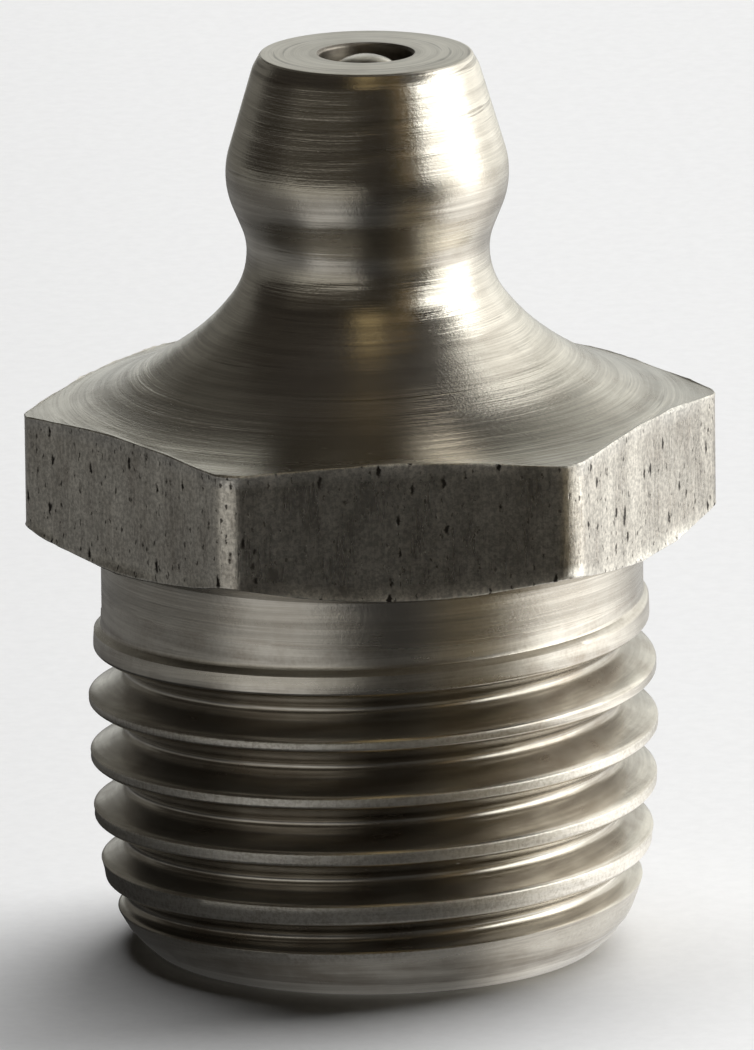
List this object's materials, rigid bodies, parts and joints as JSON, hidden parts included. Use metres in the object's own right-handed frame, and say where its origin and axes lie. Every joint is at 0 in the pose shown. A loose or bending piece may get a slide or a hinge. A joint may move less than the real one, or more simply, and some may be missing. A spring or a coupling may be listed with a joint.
{
  "type": "grease nipple",
  "caption": "Straight stainless grease nipple with conical head, hexagon, parallel pipe thread and a sprung check ball in the inlet.",
  "frame": {"origin": "centre of the threaded end's flat face", "axes": "+Z along the nipple's axis towards the head; +X through a corner of the hexagon; +Y and -Y square to two of its flats"},
  "size_m": [0.016, 0.014, 0.0209],
  "materials": {
    "body": "turned",
    "ball": "polished",
    "spring": "drawn wire"
  },
  "bodies": {
    "nipple": {"body": "body", "spring": "spring"},
    "ball": {"ball": "ball"}
  },
  "joints": [
    {"name": "ball_press", "type": "slide", "parent": "nipple", "child": "ball", "axis": [0, 0, -1], "range_m": [0, 0.001], "stiffness_N_per_m": 1560, "deforming": ["spring"]}
  ]
}
